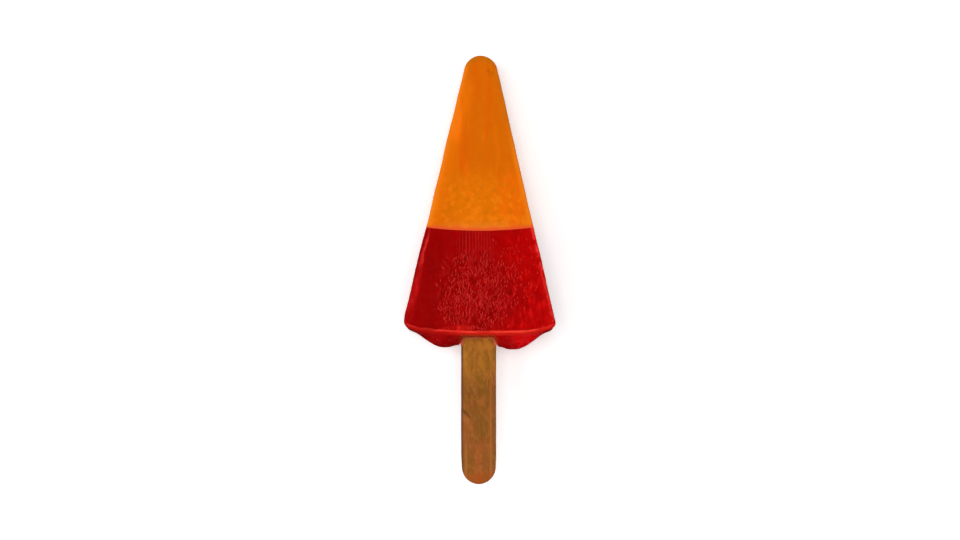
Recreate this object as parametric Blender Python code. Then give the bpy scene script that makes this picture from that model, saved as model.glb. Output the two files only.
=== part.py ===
"""A two-flavour ice lolly on a flat wooden stick, lying on its back face.

Metres, +Z up. X runs across the bar and +Y points towards its tip.
In the bar's own frame s is the distance from the tip along the middle line, so local y is minus s,
and z is the height over the middle plane. An empty turns that frame so that the back face lies flat.
"""

import math

import bmesh
import bpy
from mathutils import Vector

MM = 0.001

# Outline of the frozen bar, seen from the front
TIP_RADIUS = 4.9 * MM
SIDE_ANGLE = math.radians(13.2)
CORNER_START_S = 74.8 * MM
CORNER_RADIUS = 8.0 * MM
CORNER_S = 77.2 * MM
RIM_DIP = 2.8 * MM
RIM_POWER = 5

# Thickness of the bar and the radii of its edges
FACE_ANGLE = math.radians(3.9)
TIP_HALF_THICKNESS = 5.0 * MM
EDGE_RADIUS = 2.0 * MM
BASE_EDGE_RADIUS = 1.1 * MM

# The line between the two flavours: it sags towards the stick in the middle
FLAVOUR_EDGE_S = 50.6 * MM
FLAVOUR_SAG = 0.8 * MM

# The base swells into a lobe on each side of the stick, with a trough in front of and behind it
LEFT_LOBE = 3.0 * MM
RIGHT_LOBE = 3.3 * MM
LOBE_SHOULDER = 11.0 * MM
LOBE_FOOT = 18.8 * MM
LOBE_CREST = 9.0 * MM
TROUGH_FLOOR = 2.4 * MM
TROUGH_WALL = 6.2 * MM
TROUGH_SHARE = 0.1
WALL_SHARE = 0.72

# Flat birch stick, 93 mm, a common size
STICK_LENGTH = 93.0 * MM
STICK_WIDTH = 10.0 * MM
STICK_THICKNESS = 2.0 * MM
STICK_EDGE = 0.25 * MM
STICK_END_S = 122.9 * MM
STICK_OFFSET = -0.4 * MM

# Clearance between solids that touch on the real lolly
GAP = 0.3 * MM

# How finely a quarter of a section, the nose and the end faces are divided
SIDE_STEPS, ROUND_STEPS, FACE_STEPS = 4, 4, 12
NOSE_STEPS = 7
SHOULDER_STEPS = 3
WALL_STEPS = 4
RIM_STEPS = 4
CAP_STEPS = 13
CAP_CROWDING = 0.85
FLAVOUR_CAP_STEPS = 3
POCKET_END_STEPS = 6
STICK_ARC_STEPS = 14
SOLVE_STEPS = 6
MERGE_DISTANCE = 0.002 * MM
SHARP_ANGLE = math.radians(35)

# Base colour and roughness of each piece
ORANGE_FINISH = ((0.76, 0.15, 0.004), 0.35)
RED_FINISH = ((0.43, 0.002, 0.003), 0.3)
WOOD_FINISH = ((0.33, 0.12, 0.03), 0.6)


def clear_scene():
    for obj in list(bpy.data.objects):
        bpy.data.objects.remove(obj, do_unlink=True)


def smoothstep(low, high, value):
    t = min(max((value - low) / (high - low), 0.0), 1.0)
    return t * t * (3.0 - 2.0 * t)


def half_width(s, inset=0.0):
    """Half the bar's width at s, with the whole outline moved in by inset."""
    radius = TIP_RADIUS - inset
    tangent_s = TIP_RADIUS - radius * math.sin(SIDE_ANGLE)
    if s < tangent_s:
        return math.sqrt(max(radius**2 - (TIP_RADIUS - s) ** 2, 0.0))
    width = radius * math.cos(SIDE_ANGLE) + (s - tangent_s) * math.tan(SIDE_ANGLE)
    return width - max(s - CORNER_START_S, 0.0) ** 2 / (2.0 * CORNER_RADIUS)


def half_thickness(s):
    return TIP_HALF_THICKNESS + s * math.tan(FACE_ANGLE)


def stations():
    """(zone, share, x sign, z sign) for each point round a section, starting on the +X side."""
    quarter = [("side", i / SIDE_STEPS) for i in range(SIDE_STEPS)]
    quarter += [("round", i / ROUND_STEPS) for i in range(ROUND_STEPS)]
    quarter += [("face", i / FACE_STEPS) for i in range(FACE_STEPS + 1)]
    ring = []
    for x_sign, z_sign in ((1, 1), (-1, 1), (-1, -1), (1, -1)):
        run = [(*point, x_sign, z_sign) for point in quarter]
        if x_sign != z_sign:
            run.reverse()
        ring += run[:-1]
    return ring


def section_point(station, width_at, level, radius, turn=math.pi / 2):
    """(x, z) on a flat section with rounded edges. width_at(inset) is half its width. The rounding
    starts at height level and goes through the angle turn."""
    zone, share, x_sign, z_sign = station
    angle = {"side": 0.0, "round": share * turn, "face": turn}[zone]
    x = width_at(radius * (1.0 - math.cos(angle)))
    z = level + radius * math.sin(angle)
    if zone == "side":
        z = level * share
    if zone == "face":
        x *= 1.0 - share
    return x_sign * x, z_sign * z


def bar_point(station, s, inset=0.0):
    """(x, z) on the bar's section at s, moved in by inset. The face closes up towards the tip."""
    turn = math.acos(1.0 - s / EDGE_RADIUS) if s < EDGE_RADIUS else math.pi / 2
    level = half_thickness(s) - EDGE_RADIUS
    return section_point(
        station, lambda more: half_width(s, inset + more), level, EDGE_RADIUS - inset, turn
    )


def slot_point(station, s, end_s=None):
    """(x, z) on the slot that the stick fills, which closes in a half circle at end_s."""
    full = STICK_WIDTH / 2 + GAP
    depth = full if end_s is None else min(max(s - end_s, 0.0), full)
    half = math.sqrt(max(full**2 - (full - depth) ** 2, 0.0))
    radius = STICK_EDGE + GAP
    level = STICK_THICKNESS / 2 + GAP - radius
    x, z = section_point(station, lambda more: max(half - more, 0.0), level, radius)
    return x + STICK_OFFSET, z


def flavour_s(x):
    """Where the two flavours meet."""
    across = x / half_width(FLAVOUR_EDGE_S)
    return FLAVOUR_EDGE_S + FLAVOUR_SAG * (1.0 - across**2)


def orange_end_s(x, _z=0.0):
    return flavour_s(x) - GAP / 2


def red_end_s(x, _z=0.0):
    return flavour_s(x) + GAP / 2


def shoulder_s(_x, _z=0.0):
    """Where the round tip has run out into the straight sides."""
    return TIP_RADIUS


def rim_s(x, _z=0.0):
    """Where the moulded wall ends and the free base begins."""
    across = min(abs(x) / half_width(CORNER_S), 1.0)
    return CORNER_S + RIM_DIP * (1.0 - across**RIM_POWER)


def lobe_height(x, z):
    """How far the base swells past its rounded rim."""
    crest = RIGHT_LOBE if x > 0 else LEFT_LOBE
    from_stick = abs(x - STICK_OFFSET)
    wall = WALL_SHARE * smoothstep(TROUGH_FLOOR, TROUGH_WALL, from_stick)
    top = (1.0 - TROUGH_SHARE - WALL_SHARE) * smoothstep(TROUGH_WALL, LOBE_CREST, from_stick)
    outer = 1.0 - smoothstep(LOBE_SHOULDER, LOBE_FOOT, abs(x))
    across = min(abs(z) / half_thickness(CORNER_S), 1.0)
    return crest * (TROUGH_SHARE + wall + top) * outer * (1.0 - across**2)


def base_s(x, z, share=1.0):
    """The base's surface. A share under 1 is a point on its way round the rim's rounded edge."""
    return rim_s(x) + share * (BASE_EDGE_RADIUS + lobe_height(x, z))


def wall_end(station, surface):
    """The s at which the wall along this station runs into surface(x, z)."""
    s = surface(0.0)
    for _ in range(SOLVE_STEPS):
        s = surface(*bar_point(station, s))
    return s


def wall_rings(start, end, steps):
    """Rings down the tapered wall between two surfaces, both included."""
    ring = stations()
    spans = [(wall_end(station, start), wall_end(station, end)) for station in ring]
    rings = []
    for i in range(steps + 1):
        row = []
        for station, (low, high) in zip(ring, spans):
            s = low + (high - low) * i / steps
            x, z = bar_point(station, s)
            row.append(Vector((x, -s, z)))
        rings.append(row)
    return rings


def cap_rings(outer, surface, steps, crowding=1.0):
    """Rings on surface(x, z) from an outer one in to the slot's mouth. A crowding under 1 packs
    them towards the mouth."""
    mouth = [slot_point(station, CORNER_S) for station in stations()]
    rings = []
    for i in range(1, steps + 1):
        share = (i / steps) ** crowding
        row = []
        for point, (slot_x, slot_z) in zip(outer, mouth):
            x = point.x + (slot_x - point.x) * share
            z = point.z + (slot_z - point.z) * share
            row.append(Vector((x, -surface(x, z), z)))
        rings.append(row)
    return rings


def flat_ring(point_at, s):
    """A ring whose points all lie at one s."""
    row = []
    for station in stations():
        x, z = point_at(station, s)
        row.append(Vector((x, -s, z)))
    return row


def orange_rings():
    """From the tip down the outside to the flavour line, across it, and up the stick's pocket."""
    rings = []
    for i in range(NOSE_STEPS + 1):
        s = EDGE_RADIUS * (1.0 - math.cos(math.pi / 2 * i / NOSE_STEPS))
        rings.append(flat_ring(bar_point, s))
    for i in range(1, SHOULDER_STEPS):
        s = EDGE_RADIUS + (TIP_RADIUS - EDGE_RADIUS) * i / SHOULDER_STEPS
        rings.append(flat_ring(bar_point, s))
    rings += wall_rings(shoulder_s, orange_end_s, WALL_STEPS)
    rings += cap_rings(rings[-1], orange_end_s, FLAVOUR_CAP_STEPS)
    end_s = STICK_END_S - STICK_LENGTH - GAP
    for i in range(POCKET_END_STEPS + 1):
        depth = (STICK_WIDTH / 2 + GAP) * (1.0 - math.sin(math.pi / 2 * i / POCKET_END_STEPS))
        rings.append(flat_ring(lambda station, s: slot_point(station, s, end_s), end_s + depth))
    return rings


def rim_rings(wall_ring):
    """Rings round the base's rounded edge, from the last ring of the wall."""
    rings = []
    for i in range(1, RIM_STEPS + 1):
        angle = math.pi / 2 * i / RIM_STEPS
        inset = BASE_EDGE_RADIUS * (1.0 - math.cos(angle))
        row = []
        for station, point in zip(stations(), wall_ring):
            x, z = bar_point(station, -point.y, inset)
            row.append(Vector((x, -base_s(x, z, math.sin(angle)), z)))
        rings.append(row)
    return rings


def red_rings():
    """A closed chain: down the wall, round the rim, over the base, up the slot and back out."""
    rings = wall_rings(red_end_s, rim_s, WALL_STEPS)
    upper_cap = cap_rings(rings[0], red_end_s, FLAVOUR_CAP_STEPS)
    rings += rim_rings(rings[-1])
    rings += cap_rings(rings[-1], base_s, CAP_STEPS, CAP_CROWDING)
    rings.append(flat_ring(slot_point, CORNER_S))
    return rings + upper_cap[::-1]


def loft(name, rings, closed):
    """A mesh object through the rings. A closed chain joins the last ring to the first."""
    shape = bmesh.new()
    rows = [[shape.verts.new(point) for point in ring] for ring in rings]
    followers = rows[1:] + rows[:1] if closed else rows[1:]
    for row, follower in zip(rows, followers):
        for k in range(len(row)):
            n = (k + 1) % len(row)
            shape.faces.new((row[k], row[n], follower[n], follower[k]))
    bmesh.ops.remove_doubles(shape, verts=shape.verts, dist=MERGE_DISTANCE)
    bmesh.ops.dissolve_degenerate(shape, edges=shape.edges, dist=MERGE_DISTANCE / 2)
    bmesh.ops.recalc_face_normals(shape, faces=shape.faces)
    mesh = bpy.data.meshes.new(name)
    shape.to_mesh(mesh)
    shape.free()
    mesh.shade_smooth()
    mesh.set_sharp_from_angle(angle=SHARP_ANGLE)
    return bpy.data.objects.new(name, mesh)


def stick():
    """The whole stick as a flat outline with half-round ends and softened edges."""
    outline = bpy.data.curves.new("stick", "CURVE")
    outline.dimensions = "2D"
    outline.fill_mode = "BOTH"
    outline.extrude = STICK_THICKNESS / 2 - STICK_EDGE
    outline.bevel_depth = STICK_EDGE
    outline.bevel_resolution = 1
    outline.offset = -STICK_EDGE
    radius = STICK_WIDTH / 2
    reach = STICK_LENGTH / 2 - radius
    points = []
    for end, start_angle in ((reach, 0.0), (-reach, math.pi)):
        for i in range(STICK_ARC_STEPS + 1):
            angle = start_angle + math.pi * i / STICK_ARC_STEPS
            points.append((radius * math.cos(angle), end + radius * math.sin(angle)))
    spline = outline.splines.new("POLY")
    spline.points.add(len(points) - 1)
    for point, (x, y) in zip(spline.points, points):
        point.co = (x, y, 0.0, 1.0)
    spline.use_cyclic_u = True
    obj = bpy.data.objects.new("stick", outline)
    obj.location = (STICK_OFFSET, STICK_LENGTH / 2 - STICK_END_S, 0.0)
    return obj


def material(name, finish):
    colour, roughness = finish
    made = bpy.data.materials.new(name)
    made.use_nodes = True
    shader = made.node_tree.nodes["Principled BSDF"]
    shader.inputs["Base Color"].default_value = (*colour, 1.0)
    shader.inputs["Roughness"].default_value = roughness
    shader.inputs["Metallic"].default_value = 0.0
    return made


def lay_on_back(root, pieces):
    """Turns the bar's frame so that the back face is level at z = 0, and centres it along y."""
    root.rotation_euler = (-FACE_ANGLE, 0.0, 0.0)
    root.location = (0.0, 0.0, TIP_HALF_THICKNESS * math.cos(FACE_ANGLE))
    bpy.context.view_layer.update()
    graph = bpy.context.evaluated_depsgraph_get()
    reach = []
    for obj in pieces:
        final = obj.evaluated_get(graph)
        reach += [(final.matrix_world @ vertex.co).y for vertex in final.to_mesh().vertices]
        final.to_mesh_clear()
    root.location.y = -(max(reach) + min(reach)) / 2


def main():
    clear_scene()
    collection = bpy.data.collections.new("ice_lolly")
    bpy.context.scene.collection.children.link(collection)
    root = bpy.data.objects.new("bar_frame", None)
    collection.objects.link(root)

    pieces = [
        (loft("orange_ice", orange_rings(), False), material("orange_ice", ORANGE_FINISH)),
        (loft("red_ice", red_rings(), True), material("red_ice", RED_FINISH)),
        (stick(), material("stick_wood", WOOD_FINISH)),
    ]
    for obj, finish in pieces:
        obj.data.materials.append(finish)
        obj.parent = root
        collection.objects.link(obj)
    lay_on_back(root, [obj for obj, _ in pieces])


main()
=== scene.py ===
import math
import random

import bmesh
import bpy
from mathutils import Euler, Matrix, Vector, noise as chanceNoise


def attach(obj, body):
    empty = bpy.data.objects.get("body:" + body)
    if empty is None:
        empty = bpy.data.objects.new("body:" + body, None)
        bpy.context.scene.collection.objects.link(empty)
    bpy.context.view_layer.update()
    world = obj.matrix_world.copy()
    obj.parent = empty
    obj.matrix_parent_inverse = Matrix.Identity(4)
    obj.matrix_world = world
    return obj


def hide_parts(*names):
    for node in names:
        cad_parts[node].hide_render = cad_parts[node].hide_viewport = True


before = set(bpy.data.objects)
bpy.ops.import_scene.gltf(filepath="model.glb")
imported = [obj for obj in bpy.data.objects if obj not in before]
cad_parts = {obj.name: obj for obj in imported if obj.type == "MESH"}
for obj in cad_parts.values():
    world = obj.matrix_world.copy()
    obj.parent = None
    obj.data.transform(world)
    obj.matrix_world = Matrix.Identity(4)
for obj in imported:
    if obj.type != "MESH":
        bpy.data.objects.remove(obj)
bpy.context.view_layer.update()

mm = 0.001
mostly = 0.9  # share of a direction, where faces and edges are picked by the way they point
faint = 0.001  # weights that are left out of a vertex group

# Everything is modelled level, in the bar's own frame: y = -s, where s is the distance from the tip,
# and z = 0 is the middle of its thickness. layDown then turns it on to its back, as the solids lie.
lying = {"tilt": math.radians(-3.9), "y": 61.231 * mm, "z": 4.988 * mm}


def onlySelect(piece):
    if bpy.context.mode != "OBJECT":
        bpy.ops.object.mode_set(mode="OBJECT")
    bpy.ops.object.select_all(action="DESELECT")
    piece.select_set(True)
    bpy.context.view_layer.objects.active = piece


def newPiece(name):
    piece = bpy.context.active_object
    piece.name = name
    piece.data.name = name
    onlySelect(piece)
    bpy.ops.object.transform_apply(location=True, rotation=True, scale=True)
    return piece


def pick(piece, kind, test):  # in edit mode, selects only what passes the test
    bpy.ops.mesh.select_mode(type=kind)
    bpy.ops.mesh.select_all(action="DESELECT")
    shape = bmesh.from_edit_mesh(piece.data)
    for part in {"VERT": shape.verts, "EDGE": shape.edges, "FACE": shape.faces}[kind]:
        if test(part):
            part.select_set(True)
    shape.select_flush_mode()
    bmesh.update_edit_mesh(piece.data)


def upright(edge):
    along = edge.verts[1].co - edge.verts[0].co
    return abs(along.z) > mostly * along.length


def finishWith(piece, kind, **settings):  # adds a modifier and applies it
    modifier = piece.modifiers.new(kind.title(), kind)
    for key, value in settings.items():
        setattr(modifier, key, value)
    onlySelect(piece)
    bpy.ops.object.modifier_apply(modifier=modifier.name)


def weigh(piece, name, rule):  # a vertex group whose weights come from a rule on x, y, z
    group = piece.vertex_groups.new(name=name)
    for vertex in piece.data.vertices:
        weight = rule(*vertex.co)
        if weight > faint:
            group.add([vertex.index], min(weight, 1), "REPLACE")


def push(piece, name, direction, far, rule):  # along one axis, as far as the rule lets each point go
    weigh(piece, name, rule)
    finishWith(piece, "DISPLACE", vertex_group=name, direction=direction, strength=far, mid_level=0)


def roughen(piece, name, size, detail, height, direction="NORMAL", group=""):  # with a cloud texture
    texture = bpy.data.textures.new(name, "CLOUDS")
    texture.noise_scale = size
    texture.noise_depth = detail
    finishWith(
        piece, "DISPLACE", texture=texture, texture_coords="LOCAL", direction=direction,
        vertex_group=group, strength=height, mid_level=0.5,
    )


def remove(piece):
    onlySelect(piece)
    bpy.ops.object.delete()


def copyOf(piece, name):
    onlySelect(piece)
    bpy.ops.object.duplicate()
    twin = bpy.context.active_object
    twin.name = name
    twin.data.name = name
    return twin


def layDown(piece):
    onlySelect(piece)
    piece.rotation_euler = (lying["tilt"], 0, 0)
    piece.location = (0, lying["y"], lying["z"])
    bpy.ops.object.transform_apply(location=True, rotation=True, scale=True)


def smoothstep(low, high, value):
    t = min(max((value - low) / (high - low), 0), 1)
    return t * t * (3 - 2 * t)


# The whole frozen bar, before it is cut into its two flavours
bar = {
    "tip": 0.45 * mm,
    "length": 78.1 * mm,
    "endZone": 1 * mm,
    "tipHalfWidth": 3.82 * mm,
    "tipHalfThickness": 5 * mm,
    "sideSlope": math.tan(math.radians(12.9)),
    "faceSlope": math.tan(math.radians(3.9)),
    "tipCorner": {"offset": 3.7 * mm, "segments": 12},
    "baseCorner": {"offset": 1 * mm, "segments": 8},
    "edge": {"width": 2 * mm, "segments": 6},
    "baseEdgeShare": 0.35,  # how round the base's edge is, next to the long ones
    "baseEdgeFrom": (0.2, 0.95),
    "voxel": 0.27 * mm,
    "smoothing": {"factor": 0.5, "iterations": 4},
    "lastSmoothing": {"factor": 0.5, "iterations": 3},
    "crease": math.radians(50),
}
bend = {  # small turns of the outline away from a straight wedge
    "narrows": {-1: 0.24 * mm, 1: 0.16 * mm},  # on the left and on the right
    "narrowsAt": 74.6 * mm,
    "narrowsPast": 12 * mm,
    "swell": 0.36 * mm,
    "swellStarts": (40 * mm, 72 * mm),
    "swellEnds": (74 * mm, 80 * mm),
    "swellPast": 8 * mm,
    "lean": 0.22 * mm,
    "leanEnds": (5 * mm, 32 * mm),
}
rim = {
    "at": 77.2 * mm,
    "middle": 0.2 * mm,
    "sag": 2.8 * mm,
    "sagFrom": 62 * mm,
    "halfWidth": 21.9 * mm,
    "power": 5,
    "lip": 0.3 * mm,
    "lipWidth": 0.55 * mm,
    "lipPast": 0.1 * mm,
    "lipUp": (0.6, 0.85),
    "lipEnds": (17 * mm, 21 * mm),
}
lobes = {
    "left": (3.23 * mm, 10.65 * mm, 19.8 * mm),  # height, shoulder, foot
    "right": (3.87 * mm, 9.95 * mm, 20.1 * mm),
    "from": 76 * mm,
    "crest": 9 * mm,
    "troughFloor": 4.1 * mm,
    "troughWall": 5.8 * mm,
    "troughShare": 0.13,
    "wallShare": 0.67,
    "stickAt": -0.4 * mm,
}
relief = {
    "wave": (9 * mm, 1, 0.3 * mm),  # size, detail, height
    "waveUp": (-0.95, -0.6),
    "ripple": (1.5 * mm, 2, 0.09 * mm),
    "rippleUp": (-0.9, -0.5),
    "rippleAlong": (30 * mm, 60 * mm),
}
flavourLine = {"middle": 51.25 * mm, "radius": 122 * mm, "facets": 900, "depth": 60 * mm}


def halfWidth(s):
    return bar["tipHalfWidth"] + s * bar["sideSlope"]


def halfThickness(s):
    return bar["tipHalfThickness"] + s * bar["faceSlope"]


def rimSag(x):
    return rim["sag"] * (1 - min(abs(x - rim["middle"]) / rim["halfWidth"], 1) ** rim["power"])


def lobeHeight(x, z, s):
    crest, shoulder, foot = lobes["right"] if x > 0 else lobes["left"]
    off = abs(x - lobes["stickAt"])
    wall = lobes["wallShare"] * smoothstep(lobes["troughFloor"], lobes["troughWall"], off)
    top = 1 - lobes["troughShare"] - lobes["wallShare"]
    top *= smoothstep(lobes["troughWall"], lobes["crest"], off)
    outer = 1 - smoothstep(shoulder, foot, abs(x))
    across = min(abs(z) / halfThickness(s), 1)
    return crest * (lobes["troughShare"] + wall + top) * outer * (1 - across**2)


def lipHeight(x, y, z):
    past = -y - rim["at"] - rimSag(x) - rim["lipPast"]
    front = smoothstep(*rim["lipUp"], z / halfThickness(-y)) * (1 - smoothstep(*rim["lipEnds"], abs(x)))
    return front * math.exp(-((past / rim["lipWidth"]) ** 2))


def narrowing(y):
    return max((-y - bend["narrowsAt"]) / (bar["length"] - bend["narrowsAt"]), 0) ** 2


def swelling(y):
    return smoothstep(*bend["swellStarts"], -y) * (1 - smoothstep(*bend["swellEnds"], -y))


def rippled(y, z):
    return smoothstep(*relief["rippleUp"], z / halfThickness(-y)) * smoothstep(*relief["rippleAlong"], -y)


def shapeWedge():
    length = bar["length"]
    wide, thick = halfWidth(length), halfThickness(length)
    middle, reach = -(bar["tip"] + length) / 2, length - bar["tip"]
    bpy.ops.mesh.primitive_cube_add(size=1, location=(0, middle, 0), scale=(2 * wide, reach, 2 * thick))
    body = newPiece("wholeBar")

    bpy.ops.object.mode_set(mode="EDIT")
    pick(body, "FACE", lambda face: face.normal.y > mostly)  # the tip's end, drawn in to its size
    bpy.ops.transform.resize(
        value=(bar["tipHalfWidth"] / wide, 1, bar["tipHalfThickness"] / thick), center_override=(0, 0, 0)
    )
    pick(body, "EDGE", lambda edge: upright(edge) and edge.verts[0].co.y > -bar["endZone"])
    bpy.ops.mesh.bevel(affect="EDGES", **bar["tipCorner"])
    pick(body, "EDGE", lambda edge: upright(edge) and edge.verts[0].co.y < bar["endZone"] - length)
    bpy.ops.mesh.bevel(affect="EDGES", **bar["baseCorner"])
    shape = bmesh.from_edit_mesh(body.data)
    weight = shape.edges.layers.float.new("bevel_weight_edge")
    for edge in shape.edges:
        steep = [face for face in edge.link_faces if abs(face.normal.z) < mostly]
        if len(steep) == 1:
            towardsBase = smoothstep(*bar["baseEdgeFrom"], -steep[0].normal.y)
            edge[weight] = 1 - (1 - bar["baseEdgeShare"]) * towardsBase
    bmesh.update_edit_mesh(body.data)
    bpy.ops.object.mode_set(mode="OBJECT")
    finishWith(body, "BEVEL", limit_method="WEIGHT", **bar["edge"])
    finishWith(body, "REMESH", mode="VOXEL", voxel_size=bar["voxel"])
    finishWith(body, "SMOOTH", **bar["smoothing"])
    return body


def shapeBase(body):  # it bows out, then swells into two lobes with a trough where the stick comes out
    for side, name in ((-1, "narrowLeft"), (1, "narrowRight")):
        push(
            body, name, "X", -side * bend["narrows"][side],
            lambda x, y, z: narrowing(y) if x * side > bend["narrowsPast"] else 0,
        )
    push(body, "swell", "X", -bend["swell"], lambda x, y, z: swelling(y) if x < -bend["swellPast"] else 0)
    push(body, "lean", "X", bend["lean"], lambda x, y, z: 1 - smoothstep(*bend["leanEnds"], -y))
    push(
        body, "bow", "Y", -rim["sag"],
        lambda x, y, z: rimSag(x) / rim["sag"] * smoothstep(rim["sagFrom"], rim["at"], -y),
    )
    peak = max(lobes["left"][0], lobes["right"][0])
    push(
        body, "lobes", "Y", -peak,
        lambda x, y, z: lobeHeight(x, z, -y) / peak if -y > lobes["from"] else 0,
    )
    finishWith(body, "SMOOTH", **bar["lastSmoothing"])
    push(body, "lip", "Z", rim["lip"], lipHeight)  # a thin lip runs along the rim, where the mould ended


def shapeBar():
    body = shapeWedge()
    shapeBase(body)

    # A cast surface is never quite flat. The back, which it lies on, stays flat.
    weigh(body, "uneven", lambda x, y, z: smoothstep(*relief["waveUp"], z / halfThickness(-y)))
    roughen(body, "wave", *relief["wave"], group="uneven")
    weigh(body, "rippled", lambda x, y, z: rippled(y, z))
    roughen(body, "ripple", *relief["ripple"], group="rippled")
    body.vertex_groups.clear()
    print("whole bar:", len(body.data.polygons), "faces")
    return body


def cutFlavours(body):
    centreY = flavourLine["radius"] - flavourLine["middle"]  # the line between the flavours sags a little
    bpy.ops.mesh.primitive_cylinder_add(
        vertices=flavourLine["facets"], radius=flavourLine["radius"], depth=flavourLine["depth"],
        location=(0, centreY, 0),
    )
    cutter = newPiece("cutter")
    orange = copyOf(body, "orangeIce")
    finishWith(orange, "BOOLEAN", object=cutter, operation="INTERSECT", solver="MANIFOLD")
    red = copyOf(body, "redIce")
    finishWith(red, "BOOLEAN", object=cutter, operation="DIFFERENCE", solver="MANIFOLD")
    remove(cutter)
    remove(body)
    for piece in (orange, red):
        onlySelect(piece)
        bpy.ops.object.shade_smooth_by_angle(angle=bar["crease"])
        print(piece.name, len(piece.data.polygons), "faces")
    return orange, red


orangeIce, redIce = cutFlavours(shapeBar())


# The flat wooden stick
stick = {
    "length": 93 * mm,
    "width": 10 * mm,
    "thickness": 2 * mm,
    "endAt": 123.2 * mm,
    "x": -0.4 * mm,
    "endCorner": {"offset": 4.9 * mm, "segments": 14},
    "edge": {"offset": 0.3 * mm, "segments": 3},
    "rows": 60,
    "waver": (4 * mm, 1, 0.1 * mm),  # size, detail, height
    "taper": {-1: 0.22 * mm, 1: 0.08 * mm},  # on the left and on the right
    "taperAlong": (113 * mm, 119 * mm),
    "taperPast": 1 * mm,
    "crease": math.radians(40),
}


def tapering(y):
    return smoothstep(*stick["taperAlong"], -y)


def shapeStick():
    middle = stick["length"] / 2 - stick["endAt"]
    bpy.ops.mesh.primitive_cube_add(
        size=1, location=(stick["x"], middle, 0), scale=(stick["width"], stick["length"], stick["thickness"])
    )
    wood = newPiece("woodenStick")
    bpy.ops.object.mode_set(mode="EDIT")
    pick(wood, "EDGE", upright)
    bpy.ops.mesh.bevel(affect="EDGES", **stick["endCorner"])
    pick(wood, "EDGE", lambda edge: sum(abs(face.normal.z) > mostly for face in edge.link_faces) == 1)
    bpy.ops.mesh.bevel(affect="EDGES", **stick["edge"])
    for row in range(1, stick["rows"]):  # cross cuts, so that the edges can waver
        bpy.ops.mesh.select_all(action="SELECT")
        y = -stick["endAt"] + stick["length"] * row / stick["rows"]
        bpy.ops.mesh.bisect(plane_co=(0, y, 0), plane_no=(0, 1, 0))
    bpy.ops.object.mode_set(mode="OBJECT")
    for side, name in ((-1, "taperLeft"), (1, "taperRight")):
        push(
            wood, name, "X", -side * stick["taper"][side],
            lambda x, y, z: tapering(y) if (x - stick["x"]) * side > stick["taperPast"] else 0,
        )
    roughen(wood, "waver", *stick["waver"], direction="X")
    wood.vertex_groups.clear()
    onlySelect(wood)
    bpy.ops.object.shade_smooth_by_angle(angle=stick["crease"])
    print("stick:", len(wood.data.polygons), "faces")
    return wood


woodenStick = shapeStick()


# A thin skin of ice that runs out on to the stick, furthest along its two edges
film = {
    "start": 78.6 * mm,
    "end": 83.7 * mm,
    "middleEnd": 81.6 * mm,
    "endZone": 0.1 * mm,
    "halfWidth": 5.35 * mm,
    "halfThickness": 1.35 * mm,
    "thinning": (0.97, 1, 0.86),
    "strip": 4.3 * mm,
    "stripStep": 0.35 * mm,
    "voxel": 0.11 * mm,
    "smoothing": {"factor": 0.5, "iterations": 3},
}


def shapeFilm():
    size = (2 * film["halfWidth"], film["end"] - film["start"], 2 * film["halfThickness"])
    middle = -(film["start"] + film["end"]) / 2
    bpy.ops.mesh.primitive_cube_add(size=1, location=(stick["x"], middle, 0), scale=size)
    skin = newPiece("iceFilm")
    bpy.ops.object.mode_set(mode="EDIT")
    for side in (-1, 1):
        for step in (-film["stripStep"], film["stripStep"]):
            bpy.ops.mesh.select_all(action="SELECT")
            x = stick["x"] + side * (film["strip"] + step)
            bpy.ops.mesh.bisect(plane_co=(x, 0, 0), plane_no=(1, 0, 0))
    endY = film["endZone"] - film["end"]
    pick(skin, "VERT", lambda point: point.co.y < endY and abs(point.co.x - stick["x"]) < film["strip"])
    bpy.ops.transform.translate(value=(0, film["end"] - film["middleEnd"], 0))
    pick(skin, "VERT", lambda point: point.co.y < endY)  # it thins out along the stick
    bpy.ops.transform.resize(value=film["thinning"], center_override=(stick["x"], 0, 0))
    bpy.ops.object.mode_set(mode="OBJECT")
    finishWith(skin, "REMESH", mode="VOXEL", voxel_size=film["voxel"])
    finishWith(skin, "SMOOTH", **film["smoothing"])
    onlySelect(skin)
    bpy.ops.object.shade_smooth()
    print("ice film:", len(skin.data.polygons), "faces")
    return skin


iceFilm = shapeFilm()


# Frost: small crystals that stand up a little from the red face
frost = {
    "seed": 11,
    "width": 0.34 * mm,
    "height": 0.14 * mm,
    "waist": 0.4,  # how much of a crystal's length is its straight middle
    "ends": ((0.18, 0.72), (0.12, 0.35)),  # each step of a pointed end: how far, and how thick it is left
    "top": (0.55, 0.85, 1),
    "sizes": (0.7, 1.25),
    "leans": (-24, -12, 0, 8, 26),  # degrees
    "leanBy": 9,
    "clump": 3.2 * mm,
    "clumpLimits": (-0.45, 0.15),
    "apart": 0.6 * mm,
    "reach": 2.2,  # how many spreads from the middle of its patch a crystal may stand
    "offRim": 0.6 * mm,
    "offSide": 2 * mm,
    "offJoint": 0.8 * mm,
    "patches": (  # how many, middle x and s, spread of x and s, shortest and longest, all in mm
        (1300, -2, 67.8, 4.7, 5, 0.7, 1.6),
        (460, -1.5, 74.3, 4.4, 2.6, 0.7, 1.6),
        (280, 8.5, 65, 4.2, 5.4, 0.5, 1.2),
        (25, -9, 73, 2.4, 3, 0.5, 1),
    ),
    "chain": 46,  # grains along the right edge, placed and sized in mm and turned in degrees
    "chainAlong": (60, 78),
    "chainInside": (0.55, 1),
    "chainLengths": (0.5, 1.4),
    "chainLeanBy": 12,
    "chainWidth": 1.1,
    "dropFrom": 40 * mm,
}


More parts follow.
